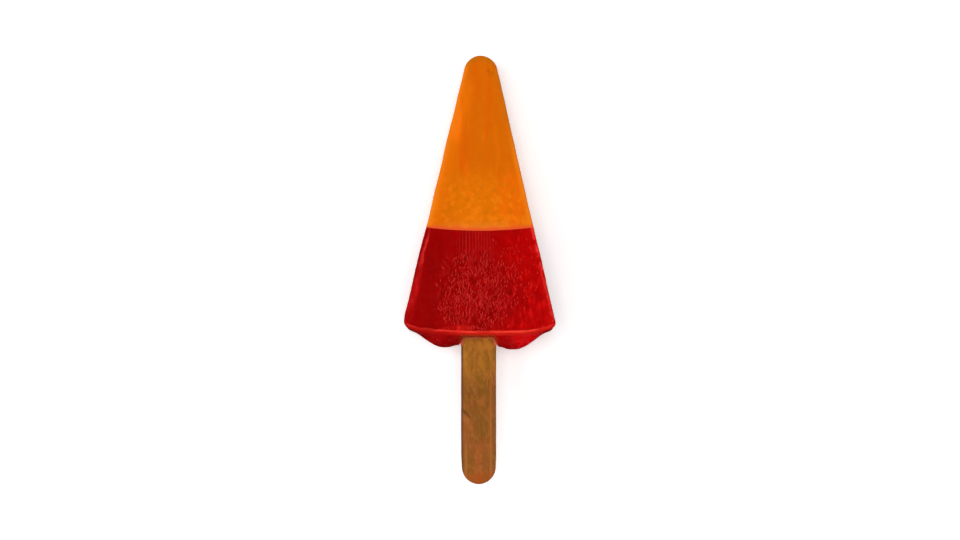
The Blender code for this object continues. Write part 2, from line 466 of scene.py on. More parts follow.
def shapeCrystal():
    bpy.ops.mesh.primitive_cube_add(size=1, location=(0, 0, 0), scale=(1, frost["waist"], 1))
    crystal = newPiece("crystal")
    bpy.ops.object.mode_set(mode="EDIT")
    for side in (-1, 1):
        for reach, size in frost["ends"]:
            pick(crystal, "FACE", lambda face: face.normal.y * side > mostly)
            bpy.ops.mesh.extrude_region_move(TRANSFORM_OT_translate={"value": (0, side * reach, 0)})
            bpy.ops.transform.resize(value=(size, 1, size), center_override=(0, 0, 0))
    pick(crystal, "VERT", lambda point: point.co.z > 0)
    bpy.ops.transform.resize(value=frost["top"], center_override=(0, 0, 0))
    bpy.ops.object.mode_set(mode="OBJECT")
    onlySelect(crystal)
    bpy.ops.object.shade_smooth()
    return crystal


def onFace(x, s):
    return s <= rim["at"] + rimSag(x) - frost["offRim"] and abs(x) <= halfWidth(s) - frost["offSide"]


def frostPlaces():  # x, s, turn, width, length and height of each crystal
    chance = random.Random(frost["seed"])
    taken = []
    for count, middleX, middleS, spreadX, spreadS, short, long in frost["patches"]:
        farX, farS = frost["reach"] * spreadX, frost["reach"] * spreadS
        for _ in range(count):
            x, s = chance.gauss(middleX, spreadX) * mm, chance.gauss(middleS, spreadS) * mm
            if not onFace(x, s) or abs(x / mm - middleX) > farX or abs(s / mm - middleS) > farS:
                continue
            if chanceNoise.noise(Vector((x, s, 0)) / frost["clump"]) < chance.uniform(*frost["clumpLimits"]):
                continue
            if any(math.hypot(x - otherX, s - otherS) < frost["apart"] for otherX, otherS in taken):
                continue
            taken.append((x, s))
            lean = chance.choice(frost["leans"]) + chance.uniform(-frost["leanBy"], frost["leanBy"])
            size = chance.uniform(*frost["sizes"])
            length = chance.uniform(short, long) * mm
            yield x, s, math.radians(lean), frost["width"] * size, length, frost["height"] * size
    for _ in range(frost["chain"]):
        s = chance.uniform(*frost["chainAlong"]) * mm
        x = halfWidth(s) - chance.uniform(*frost["chainInside"]) * mm
        lean = math.radians(chance.uniform(-frost["chainLeanBy"], frost["chainLeanBy"]))
        length = chance.uniform(*frost["chainLengths"]) * mm
        width = frost["width"] * frost["chainWidth"]
        yield x, s, math.atan(bar["sideSlope"]) + lean, width, length, frost["height"]


def growFrost(face):
    crystal = shapeCrystal()
    grown = []
    for x, s, turn, width, length, height in frostPlaces():
        hit, place = face.ray_cast((x, -s, frost["dropFrom"]), (0, 0, -1))[:2]
        if not hit or s < flavourLine["middle"] + frost["offJoint"]:
            continue
        copy = crystal.copy()
        copy.data = crystal.data.copy()
        copy.location = place
        copy.rotation_euler = (0, 0, turn)
        copy.scale = (width, length, height)
        grown.append(copy)
    remove(crystal)
    bpy.ops.object.select_all(action="DESELECT")
    for copy in grown:
        bpy.context.collection.objects.link(copy)
        copy.select_set(True)
    bpy.context.view_layer.objects.active = grown[0]
    bpy.ops.object.join()
    crystals = newPiece("frostCrystals")
    print("frost:", len(grown), "crystals,", len(crystals.data.polygons), "faces")
    return crystals


frostCrystals = growFrost(redIce)


for piece in (orangeIce, redIce, woodenStick, iceFilm, frostCrystals):
    layDown(piece)


# Materials. In the look of each piece, values stand in a fixed order:
# a colour is red, green and blue out of 255
# a spot is the x and s of its middle, its half width and half length, in mm, and, if not 1, its strength
# a grain is the scale, detail and stretch of a noise
# a fade is from, to and, if not 0 and 1, the amounts at its two ends; along a distance it is in mm
# a patchwork is a grain and a fade in one
# a bump is a height and a strength
zones = {
    "front": (1.8, 4.5, 1, 0),
    "left": (-1, 1, 1, 0),
    "right": (-1, 1),
    "wallBelow": (0.7, 2),
    "wallInside": (0.5, 1, 1, 0),
    "spotFade": (0.4, 1),
    "stroke": (2, (1, 0.38, 1)),  # detail and stretch
}


def newFinish(name, specular):
    finish = bpy.data.materials.new(name)
    finish.use_nodes = True
    shader = finish.node_tree.nodes["Principled BSDF"]
    shader.inputs["Specular IOR Level"].default_value = specular
    return finish, finish.node_tree, shader


def plug(tree, source, socket):
    if isinstance(source, (int, float)):
        socket.default_value = source
    else:
        tree.links.new(source, socket)


def coat(tree, shader, colour, roughness):
    plug(tree, colour, shader.inputs["Base Color"])
    plug(tree, roughness, shader.inputs["Roughness"])


def calc(tree, operation, *values):
    node = tree.nodes.new("ShaderNodeMath")
    node.operation = operation
    for value, socket in zip(values, node.inputs):
        plug(tree, value, socket)
    return node.outputs[0]


def ramp(tree, value, low, high, atLow=0, atHigh=1):  # smooth step between two numbers
    node = tree.nodes.new("ShaderNodeMapRange")
    node.interpolation_type = "SMOOTHSTEP"
    plug(tree, value, node.inputs["Value"])
    node.inputs["From Min"].default_value = low
    node.inputs["From Max"].default_value = high
    node.inputs["To Min"].default_value = atLow
    node.inputs["To Max"].default_value = atHigh
    return node.outputs["Result"]


def srgb(red, green, blue):
    def part(value):
        value /= 255
        return value / 12.92 if value <= 0.04045 else ((value + 0.055) / 1.055) ** 2.4
    return (part(red), part(green), part(blue), 1)


def blend(tree, factor, first, second):  # colours are sockets or (red, green, blue)
    node = tree.nodes.new("ShaderNodeMix")
    node.data_type = "RGBA"
    plug(tree, factor, node.inputs[0])
    for colour, socket in ((first, node.inputs[6]), (second, node.inputs[7])):
        if isinstance(colour, tuple):
            socket.default_value = srgb(*colour)
        else:
            tree.links.new(colour, socket)
    return node.outputs[2]


def paint(tree, colour, shade, *masks):  # lays a shade over a colour as far as every mask lets it
    amount = masks[0]
    for mask in masks[1:]:
        amount = calc(tree, "MULTIPLY", amount, mask)
    return blend(tree, amount, colour, shade)


def barPlace(tree):  # the point in the bar's own frame, as a vector and as x, s and z in mm
    place = tree.nodes.new("ShaderNodeTexCoord").outputs["Object"]
    level = tree.nodes.new("ShaderNodeMapping")
    turn = Euler((-lying["tilt"], 0, 0))
    level.inputs["Rotation"].default_value = turn
    level.inputs["Location"].default_value = -(turn.to_matrix() @ Vector((0, lying["y"], lying["z"])))
    tree.links.new(place, level.inputs["Vector"])
    split = tree.nodes.new("ShaderNodeSeparateXYZ")
    tree.links.new(level.outputs["Vector"], split.inputs["Vector"])
    ways = {"X": 1, "Y": -1, "Z": 1}
    x, s, z = (calc(tree, "MULTIPLY", split.outputs[axis], way / mm) for axis, way in ways.items())
    return level.outputs["Vector"], x, s, z


def noise(tree, place, scale, detail=3, stretch=(1, 1, 1), roughness=0.55):
    node = tree.nodes.new("ShaderNodeTexNoise")
    node.inputs["Scale"].default_value = scale
    node.inputs["Detail"].default_value = detail
    node.inputs["Roughness"].default_value = roughness
    stretched = tree.nodes.new("ShaderNodeMapping")
    stretched.inputs["Scale"].default_value = stretch
    tree.links.new(place, stretched.inputs["Vector"])
    tree.links.new(stretched.outputs["Vector"], node.inputs["Vector"])
    return node.outputs["Fac"]


def between(tree, value, starts, ends):  # as far as both fades let it
    return calc(tree, "MULTIPLY", ramp(tree, value, *starts), ramp(tree, value, *ends))


def patches(tree, place, scale, detail, stretch, *fade):
    return ramp(tree, noise(tree, place, scale, detail, stretch), *fade)


def strokes(tree, place, turn, scale):  # short strokes that lean from upright
    leaning = tree.nodes.new("ShaderNodeMapping")
    leaning.inputs["Rotation"].default_value = (0, 0, turn)
    tree.links.new(place, leaning.inputs["Vector"])
    return noise(tree, leaning.outputs["Vector"], scale, *zones["stroke"])


def hypotenuse(tree, first, second):
    squares = calc(tree, "POWER", first, 2), calc(tree, "POWER", second, 2)
    return calc(tree, "SQRT", calc(tree, "ADD", *squares))


def off(tree, value, middle):  # how far a value is from the middle
    return calc(tree, "ABSOLUTE", calc(tree, "SUBTRACT", value, middle))


def spot(tree, x, s, atX, atS, radiusX, radiusS, strength=1):  # an oval patch, 0 outside it
    across = calc(tree, "DIVIDE", calc(tree, "SUBTRACT", x, atX), radiusX)
    along = calc(tree, "DIVIDE", calc(tree, "SUBTRACT", s, atS), radiusS)
    return ramp(tree, hypotenuse(tree, across, along), *zones["spotFade"], strength, 0)


def insideSide(tree, x, s):  # how far a point is in from the sloping side
    half = calc(tree, "MULTIPLY_ADD", s, bar["sideSlope"], bar["tipHalfWidth"] / mm)
    return calc(tree, "SUBTRACT", half, calc(tree, "ABSOLUTE", x))


def belowFront(tree, s, z):  # how far a point is below the front face
    half = calc(tree, "MULTIPLY_ADD", s, bar["faceSlope"], bar["tipHalfThickness"] / mm)
    return calc(tree, "SUBTRACT", half, z)


def sideWall(tree, inside, below):  # 1 on the side walls, 0 on the front face
    lowDown, outside = ramp(tree, below, *zones["wallBelow"]), ramp(tree, inside, *zones["wallInside"])
    return calc(tree, "MULTIPLY", lowDown, outside)


def bump(tree, shader, height, distance, strength, under=None):
    node = tree.nodes.new("ShaderNodeBump")
    node.inputs["Strength"].default_value = strength
    node.inputs["Distance"].default_value = distance
    tree.links.new(height, node.inputs["Height"])
    if under is not None:
        tree.links.new(under, node.inputs["Normal"])
    tree.links.new(node.outputs["Normal"], shader.inputs["Normal"])
    return node.outputs["Normal"]


def cloudy(shader, weight, reach, depth):  # light goes a little way into the ice
    shader.inputs["Subsurface Weight"].default_value = weight
    shader.inputs["Subsurface Radius"].default_value = reach
    shader.inputs["Subsurface Scale"].default_value = depth


orangeLook = {
    "main": (207, 100, 0),
    "red": (214, 90, 0),
    "warm": (225, 109, 2),
    "low": (219, 112, 1),
    "lowRight": (228, 102, 1),
    "mottleDark": (202, 104, 0),
    "mottleLight": (235, 122, 12),
    "leftGlow": (242, 116, 14),
    # painted light on the left rounded edge and painted shade on the right one
    "litLeftEdge": (228, 122, 16),
    "shadedRightEdge": (200, 105, 8),
    "lowEdge": (230, 124, 18),
    "tip": (180, 104, 10),
    "speck": (170, 80, 0),
    "joint": (230, 84, 38),
    "jointGlow": (230, 122, 36),
    # painted shade on the side walls, with lighter streaks
    "wall": (168, 82, 4),
    "wallLight": (194, 97, 8),
    # spots
    "leftGlowSpot": (-6.9, 19, 2.4, 9, 0.75),
    "lowSpot": (0, 45, 13, 14, 0.8),
    "lowRightSpot": (9.5, 43, 6, 12, 0.8),
    "speckSpot": (2.7, 4.2, 2.6, 3.4, 0.42),
    # patchworks
    "redStreaks": (370, 3, (1, 0.1, 1), 0.42, 0.66, 0, 0.75),
    "warmStreaks": (460, 3, (1, 0.12, 1), 0.5, 0.72, 0, 0.6),
    "darkMottle": (640, 3, (1, 0.8, 1), 0.48, 0.66, 0, 0.75),
    "lightMottle": (540, 3, (1, 0.9, 1), 0.48, 0.66, 0, 0.6),
    "unevenEdge": (300, 2, (1, 0.3, 1), 0.3, 0.6, 0.5, 1),
    "specks": (850, 2, (1, 0.6, 1), 0.46, 0.64),
    "jointWidth": (380, 2, (1, 0, 0), 0.3, 0.7, 0.8, 1.7),
    "wallStreaks": (320, 4, (1, 0.3, 1), 0.3, 0.72),
    "gloss": (300, 3, (1, 1, 1), 0.35, 0.7, 0.28, 0.48),
    # fades
    "warmInside": (1.5, 6, 0.8, 0),
    "warmAlong": (5, 12),
    "mottleAlong": (31, 43, 0.1, 1),
    "lowEdgeAlong": (18, 34),
    "edgeInside": (0.6, 2, 0.85, 0),
    "tipFade": (1.2, 2.8, 0.75, 0),
    "tipWallFade": (0.5, 1.4, 1, 0),
    "glowAbove": (0.5, 3.2, 0.6, 0),
    "glowAcross": (4, 12, 1, 0.2),
    "jointFade": (0.3, 1, 0.9, 0),
    # surface
    "tipBend": -0.1,
    "specular": 0.035,
    "cloudy": (0.25, (1, 0.4, 0.1), 0.002),
    "fineGrain": (1500, 3, (1, 0.6, 1)),
    "fineBump": (0.05 * mm, 0.6),
    "softGrain": (330, 3, (1, 0.5, 1)),
    "softBump": (0.25 * mm, 0.5),
}


def aboveJoint(tree, x, s):  # how far a point is from the line between the flavours, towards the tip
    beyond = calc(tree, "ADD", s, (flavourLine["radius"] - flavourLine["middle"]) / mm)
    return calc(tree, "SUBTRACT", flavourLine["radius"] / mm, hypotenuse(tree, x, beyond))


def orangeFace(tree, place, x, s, inside, onLeft):
    look = orangeLook

    # long upright streaks, redder in the middle and brighter down the left
    colour = blend(tree, patches(tree, place, *look["redStreaks"]), look["main"], look["red"])
    colour = paint(tree, colour, look["warm"], patches(tree, place, *look["warmStreaks"]))
    warmSide, warmLength = ramp(tree, inside, *look["warmInside"]), ramp(tree, s, *look["warmAlong"])
    colour = paint(tree, colour, look["warm"], warmSide, onLeft, warmLength)
    colour = paint(tree, colour, look["leftGlow"], spot(tree, x, s, *look["leftGlowSpot"]))
    colour = paint(tree, colour, look["low"], spot(tree, x, s, *look["lowSpot"]))
    colour = paint(tree, colour, look["lowRight"], spot(tree, x, s, *look["lowRightSpot"]))

    # softly mottled where it froze against the red
    lower = ramp(tree, s, *look["mottleAlong"])
    colour = paint(tree, colour, look["mottleDark"], patches(tree, place, *look["darkMottle"]), lower)
    return paint(tree, colour, look["mottleLight"], patches(tree, place, *look["lightMottle"]), lower)


def orangeFinish():
    look = orangeLook
    finish, tree, shader = newFinish("orangeIce", look["specular"])
    place, x, s, z = barPlace(tree)
    inside, below = insideSide(tree, x, s), belowFront(tree, s, z)
    front = ramp(tree, below, *zones["front"])
    colour = orangeFace(tree, place, x, s, inside, ramp(tree, x, *zones["left"]))

    # the rounded edges, with painted light on the left edge and painted shade on the right, and the tip
    uneven = patches(tree, place, *look["unevenEdge"])
    edge = blend(tree, ramp(tree, x, *zones["right"]), look["litLeftEdge"], look["shadedRightEdge"])
    edge = blend(tree, ramp(tree, s, *look["lowEdgeAlong"]), edge, look["lowEdge"])
    colour = paint(tree, colour, edge, ramp(tree, inside, *look["edgeInside"]), uneven, front)
    arc = calc(tree, "MULTIPLY_ADD", calc(tree, "POWER", calc(tree, "ABSOLUTE", x), 2), look["tipBend"], s)
    colour = paint(tree, colour, look["tip"], ramp(tree, arc, *look["tipFade"]), front, uneven)
    specks = patches(tree, place, *look["specks"])
    colour = paint(tree, colour, look["speck"], spot(tree, x, s, *look["speckSpot"]), specks)

    # a salmon line just above the joint, with a glow over it in the middle
    above = aboveJoint(tree, x, s)
    glowAcross = ramp(tree, calc(tree, "ABSOLUTE", x), *look["glowAcross"])
    colour = paint(tree, colour, look["jointGlow"], ramp(tree, above, *look["glowAbove"]), glowAcross)
    joint = calc(tree, "DIVIDE", above, patches(tree, place, *look["jointWidth"]))
    colour = paint(tree, colour, look["joint"], ramp(tree, joint, *look["jointFade"]))

    # the side walls, and the wall round the tip, painted darker than the face as shade
    wall = blend(tree, patches(tree, place, *look["wallStreaks"]), look["wall"], look["wallLight"])
    atTip, lowDown = ramp(tree, arc, *look["tipWallFade"]), ramp(tree, below, *zones["wallBelow"])
    shadedWalls = calc(tree, "MAXIMUM", sideWall(tree, inside, below), calc(tree, "MULTIPLY", atTip, lowDown))
    coat(tree, shader, paint(tree, colour, wall, shadedWalls), patches(tree, place, *look["gloss"]))
    cloudy(shader, *look["cloudy"])
    fine = bump(tree, shader, noise(tree, place, *look["fineGrain"]), *look["fineBump"])
    bump(tree, shader, noise(tree, place, *look["softGrain"]), *look["softBump"], fine)
    return finish


redLook = {
    # painted light: darker on the left and brighter on the right, as light shining through the ice
    "left": (145, 0, 0),
    "main": (158, 0, 0),
    "right": (176, 0, 0),
    "dark": (122, 0, 0),
    "line": (178, 22, 18),
    "frost": (188, 38, 34),
    "frostRight": (210, 34, 32),
    "runDark": (146, 0, 0),
    "runLight": (206, 12, 12),
    # painted highlight on the left rounded side
    "leftBandHighlight": (194, 18, 18),
    "leftLineHighlight": (206, 40, 38),
    "rightBand": (222, 50, 44),
    # a painted highlight along the rim's lip
    "rim": (236, 60, 44),
    "rimHighlightLeft": (220, 46, 40),
    "rimHighlightRight": (214, 34, 32),
    "lipHighlight": (194, 26, 16),
    "smear": (220, 32, 24),
    # the lobes: painted shade on the left, painted light and a painted glow on the right, as light through
    # the ice
    "leftLobe": (152, 0, 0),
    "rightLobe": (170, 0, 2),
    "paintedLobeGlow": (226, 0, 8),
    # painted shade on the side walls, with lighter streaks
    "wall": (116, 0, 4),
    "wallLight": (150, 4, 8),
    # the face: its painted light from a darker left to a brighter right, clouds and melted runs
    "shadedLeftToMain": (-16, -2),
    "mainToLitRight": (2, 15),
    "clouds": (160, 3, (1, 0.5, 1), 0.46, 0.66, 0, 0.4),
    "meltedAcross": (5, 12),
    "runs": (980, 3, (1, 0.36, 1)),
    "darkRuns": (0.36, 0.5, 0.8, 0),
    "lightRuns": (0.52, 0.66, 0, 0.75),
    "darkRunsAlong": (62, 72, 0.3, 1),
    # fine upright lines
    "lineGap": 0.88,
    "lineDrift": (220, 2, (1, 0.2, 1)),
    "lineDriftBy": 9,
    "lineFade": (-0.2, 0.9),
    "lineSpot": (-1, 55.5, 7, 7.5),
    "lineBreaks": (600, 2, (1, 0.3, 1), 0.35, 0.6, 0.3, 0.9),
    # frost in strokes
    "frostLean": math.radians(20),
    "frostScales": (1500, 1380),
    "frostSpot": (-1.5, 69, 14, 14),
    "frostPatches": (260, 3, (1, 1, 1), 0.38, 0.56, 0.12, 1),
    "frostGaps": (0.34, 0.46, 1, 0),
    "frostGapsIn": (0, 0.5, 0.15, 0.9),
    "frostFade": (0.57, 0.66),
    "frostAcross": (3, 13),
    "frostAmount": 0.75,
    # the rounded sides
    "mottle": (520, 3, (1, 0.4, 1), 0.36, 0.62, 0.1, 0.95),
    "wander": (320, 4, (1, 0.4, 1), 0.3, 0.7, -0.3, 0.3),
    "bandAt": 1.05,
    "bandWidth": (56, 68, 0.5, 1.5),
    "bandFade": (0.3, 1, 1, 0),
    "bandMottle": (520, 3, (1, 0.4, 1), 0.36, 0.62, 0.3, 0.88),
    "bandStarts": (52, 54, 0.3, 1),
    "bandEnds": (71, 75.5, 1, 0.3),
    "lineToBand": (58, 64),
    "rightRunsInside": (1, 2.6, 0.6, 0),
    "rightGrains": (1100, 3, (1, 0.6, 1), 0.46, 0.6),
    "rightGrainsInside": (0.7, 1.3, 1, 0),
    "wallStreaks": (360, 4, (1, 0.35, 1), 0.3, 0.72),
    # the free base, past the rim
    "rimWaver": (500, 3, (1, 1, 1), 0.25, 0.75, -0.14, 0.14),
    "higherFrom": (-18, -15.5),
    "higherTo": (-12, -5, 0.27, 0),
    "shadedToLitLobe": (-3, 6),
    "paintedLobeGlowSpot": (13.5, 82.4, 6, 4.2),
    "paintedLobeGlowBelow": (7, 14, 1, 0.1),
    "lobeClouds": (230, 3, (1, 1, 1), 0.3, 0.6, 0.55, 1),
    "leftLobeSpot": (-12.5, 82, 4, 2),
    "basePast": (0.7, 1.3),
    # the painted highlight along the rim's lip
    "rimEnds": (20.3, 21.3, 1, 0),
    "lipStarts": (-0.45, 0),
    "lipEnds": (0.8, 1.4, 1, 0),
    "lipAcross": (-11, -4, 0.35, 0.85),
    "crownStarts": (-0.35, -0.05),
    "crownEnds": (0.15, 0.5, 1, 0),
    "crownBreaks": (420, 3, (0.5, 1, 1), 0.34, 0.56, 0.3, 1),
    "crownAcross": (-18.5, -15.5, 0.65, 1),
    "rimLeftToMain": (-9, -3),
    "rimMainToRight": (15, 17),
    "smearSpot": (-6.2, 79.2, 5.2, 1.3, 0.85),
    # surface
    "specular": 0.035,
    "gloss": (420, 3, (1, 1, 1), 0.35, 0.7, 0.2, 0.42),
    "cloudy": (0.2, (1, 0.1, 0.08), 0.002),
    "fineGrain": (1700, 3, (1, 0.5, 1)),
    "fineBump": (0.04 * mm, 0.5),
    "ridgeBump": (0.12 * mm, 0.7),
    "softGrain": (380, 3, (1, 0.4, 1)),
    "softBump": (0.22 * mm, 0.5),
}


def redFace(tree, place, x, s):  # its colour, and how strongly it is frosted and lined
    look = redLook
    # painted light through the ice: darker on the left, brighter on the right
    colour = blend(tree, ramp(tree, x, *look["shadedLeftToMain"]), look["left"], look["main"])
    colour = blend(tree, ramp(tree, x, *look["mainToLitRight"]), colour, look["right"])
    colour = paint(tree, colour, look["dark"], patches(tree, place, *look["clouds"]))

    # dark and bright runs where the right of the face began to melt
    melted = ramp(tree, x, *look["meltedAcross"])
    runs = noise(tree, place, *look["runs"])
    lowDown = ramp(tree, s, *look["darkRunsAlong"])
    colour = paint(tree, colour, look["runDark"], ramp(tree, runs, *look["darkRuns"]), melted, lowDown)
    colour = paint(tree, colour, look["runLight"], ramp(tree, runs, *look["lightRuns"]), melted)

    # fine upright lines below the joint
    drift = calc(tree, "MULTIPLY", noise(tree, place, *look["lineDrift"]), look["lineDriftBy"])
    wave = calc(tree, "SINE", calc(tree, "MULTIPLY_ADD", x, 2 * math.pi / look["lineGap"], drift))
    lined = calc(tree, "MULTIPLY", spot(tree, x, s, *look["lineSpot"]), ramp(tree, wave, *look["lineFade"]))
    colour = paint(tree, colour, look["line"], lined, patches(tree, place, *look["lineBreaks"]))

    # frost in short leaning strokes, with darker clear ice between them
    leanLeft = strokes(tree, place, look["frostLean"], look["frostScales"][0])
    leanRight = strokes(tree, place, -look["frostLean"], look["frostScales"][1])
    middle = spot(tree, x, s, *look["frostSpot"])
    gaps = ramp(tree, calc(tree, "MINIMUM", leanLeft, leanRight), *look["frostGaps"])
    colour = paint(tree, colour, look["dark"], gaps, ramp(tree, middle, *look["frostGapsIn"]))
    frosted = ramp(tree, calc(tree, "MAXIMUM", leanLeft, leanRight), *look["frostFade"])
    patchy = calc(tree, "MULTIPLY", middle, patches(tree, place, *look["frostPatches"]))
    frosted = calc(tree, "MULTIPLY", frosted, patchy)
    tint = blend(tree, ramp(tree, x, *look["frostAcross"]), look["frost"], look["frostRight"])
    return paint(tree, colour, tint, frosted, look["frostAmount"]), calc(tree, "ADD", frosted, lined)


def redSides(tree, colour, place, x, s, inside, front, mottled):
    look = redLook
    onLeft, onRight = ramp(tree, x, *zones["left"]), ramp(tree, x, *zones["right"])
    wander = calc(tree, "ADD", inside, patches(tree, place, *look["wander"]))

    # on the left a painted highlight, a line that widens to a mottled band, where the rounded side faces the
    # light
    offBand = calc(tree, "DIVIDE", off(tree, wander, look["bandAt"]), ramp(tree, s, *look["bandWidth"]))
    starts, ends = ramp(tree, s, *look["bandStarts"]), ramp(tree, s, *look["bandEnds"])
    highlightBand = calc(tree, "MULTIPLY", ramp(tree, offBand, *look["bandFade"]), starts)
    tint = blend(tree, ramp(tree, s, *look["lineToBand"]), look["leftLineHighlight"], look["leftBandHighlight"])
    colour = paint(tree, colour, tint, highlightBand, onLeft, front, patches(tree, place, *look["bandMottle"]), ends)

    # on the right grains of frost
    nearSide = ramp(tree, wander, *look["rightRunsInside"])
    colour = paint(tree, colour, look["runLight"], nearSide, onRight, front, mottled)
    atSide = ramp(tree, inside, *look["rightGrainsInside"])
    grains = patches(tree, place, *look["rightGrains"])
    return paint(tree, colour, look["rightBand"], atSide, onRight, front, grains)


def pastRim(tree, place, x, s):  # how far a point is past the rim, which wavers and is higher on the left
    look = redLook
    across = calc(tree, "DIVIDE", off(tree, x, rim["middle"] / mm), rim["halfWidth"] / mm)
    curve = calc(tree, "POWER", across, rim["power"])
    rimAt = calc(tree, "MULTIPLY_ADD", curve, -rim["sag"] / mm, (rim["at"] + rim["sag"]) / mm)
    past = calc(tree, "ADD", calc(tree, "SUBTRACT", s, rimAt), patches(tree, place, *look["rimWaver"]))
    return calc(tree, "ADD", past, between(tree, x, look["higherFrom"], look["higherTo"]))


def redBase(tree, colour, place, x, s, below, front, mottled):
    look = redLook
    past = pastRim(tree, place, x, s)
    # the base past the rim: painted shade on the left lobe, painted light and a painted glow on the right
    # one
    lobe = blend(tree, ramp(tree, x, *look["shadedToLitLobe"]), look["leftLobe"], look["rightLobe"])
    nearFront, clouded = ramp(tree, below, *look["paintedLobeGlowBelow"]), patches(tree, place, *look["lobeClouds"])
    lobe = paint(tree, lobe, look["paintedLobeGlow"], spot(tree, x, s, *look["paintedLobeGlowSpot"]), nearFront, clouded)
    lobe = paint(tree, lobe, look["rightLobe"], spot(tree, x, s, *look["leftLobeSpot"]), mottled)
    colour = paint(tree, colour, lobe, ramp(tree, past, *look["basePast"]))

    # a painted highlight along the lip of the rim, brightest on its crown
    upper = calc(tree, "MULTIPLY", front, ramp(tree, calc(tree, "ABSOLUTE", x), *look["rimEnds"]))
    lip = between(tree, past, look["lipStarts"], look["lipEnds"])
    colour = paint(tree, colour, look["lipHighlight"], lip, upper, ramp(tree, x, *look["lipAcross"]))
    crown = between(tree, past, look["crownStarts"], look["crownEnds"])
    tint = blend(tree, ramp(tree, x, *look["rimLeftToMain"]), look["rimHighlightLeft"], look["rim"])
    tint = blend(tree, ramp(tree, x, *look["rimMainToRight"]), tint, look["rimHighlightRight"])
    broken, fading = patches(tree, place, *look["crownBreaks"]), ramp(tree, x, *look["crownAcross"])
    colour = paint(tree, colour, tint, crown, upper, broken, fading)
    return paint(tree, colour, look["smear"], spot(tree, x, s, *look["smearSpot"]), mottled)


def redFinish():
    look = redLook
    finish, tree, shader = newFinish("redIce", look["specular"])
    place, x, s, z = barPlace(tree)
    inside, below = insideSide(tree, x, s), belowFront(tree, s, z)
    front = ramp(tree, below, *zones["front"])
    mottled = patches(tree, place, *look["mottle"])
    colour, ridges = redFace(tree, place, x, s)
    colour = redSides(tree, colour, place, x, s, inside, front, mottled)
    # the side walls are painted darker than the face, as shade
    wall = blend(tree, patches(tree, place, *look["wallStreaks"]), look["wall"], look["wallLight"])
    colour = paint(tree, colour, wall, sideWall(tree, inside, below))
    colour = redBase(tree, colour, place, x, s, below, front, mottled)
    coat(tree, shader, colour, patches(tree, place, *look["gloss"]))
    cloudy(shader, *look["cloudy"])
    fine = bump(tree, shader, noise(tree, place, *look["fineGrain"]), *look["fineBump"])
    ridged = bump(tree, shader, ridges, *look["ridgeBump"], fine)
    bump(tree, shader, noise(tree, place, *look["softGrain"]), *look["softBump"], ridged)
    return finish


woodLook = {
    "main": (130, 75, 24),
    "top": (176, 111, 32),
    "low": (139, 79, 29),
    "olive": (122, 82, 16),
    "rust": (164, 85, 36),
    "grainDark": (112, 64, 16),
    "grainLight": (170, 106, 46),
    "fleck": (92, 50, 12),
    "knot": (100, 54, 14),
    "pale": (170, 104, 52),
    "lightLine": (174, 104, 50),
    "end": (164, 74, 22),
    "edge": (98, 60, 37),
    # painted light just below the ice, against the shade it casts on the stick
    "paintedLightUnderIce": (206, 130, 44),
    # its tones along the stick, the painted light below the ice, and its stains
    "topToMain": (86, 98),
    "mainToLow": (98, 112),
    "paintedLightAlong": (81, 85.5, 0.75, 0),
    "olivePatches": (330, 3, (1, 0.6, 1), 0.46, 0.62, 0, 0.55),
    "rustPatches": (270, 3, (1, 0.5, 1), 0.48, 0.64, 0, 0.6),
    "rustAlong": (92, 108, 0.45, 1),
    # grain
    "fibres": (900, 4, (1, 0.12, 1), 0.6),
    "fibreFade": (0.48, 0.72, 0, 0.35),
    "strokeLean": 0.3,
    "strokeScales": (1400, 1300),
    "darkStrokes": (0.5, 0.68, 0, 0.27),
    "lightStrokes": (0.5, 0.66, 0, 0.3),
    "dashes": (1900, 1, (1, 0.3, 1), 0.55, 0.66),
    "fleckSpot": (2.9, 93.2, 3, 4.5, 0.7),
    # the slanting mark
    "slant": -0.9,
    "paleSpot": (-4.3, 108.2, 2, 1.8, 0.4),
    "knotSpot": (-4.3, 106.6, 2.4, 0.95, 0.7),
    # light lines, the end and the edges
    "lines": (  # x of its middle, fade across, fade along
        (3.1, (0.1, 0.5, 0.5, 0), (90, 112, 0.6, 1)),
        (-4, (0.1, 0.6, 0.5, 0), (108, 114)),
    ),
    "endAlong": (118, 122, 0, 0.75),
    "endBlotches": (420, 3, (1, 1, 1), 0.4, 0.6, 0.2, 1),
    "edgeFades": ((4.2, 4.7, 0, 0.95), (-5, -4.6, 0.6, 0)),  # left of the stick's middle
    # surface
    "specular": 0.1,
    "dullness": (0.3, 0.7, 0.5, 0.72),
    "bump": (0.12 * mm, 0.6),
}


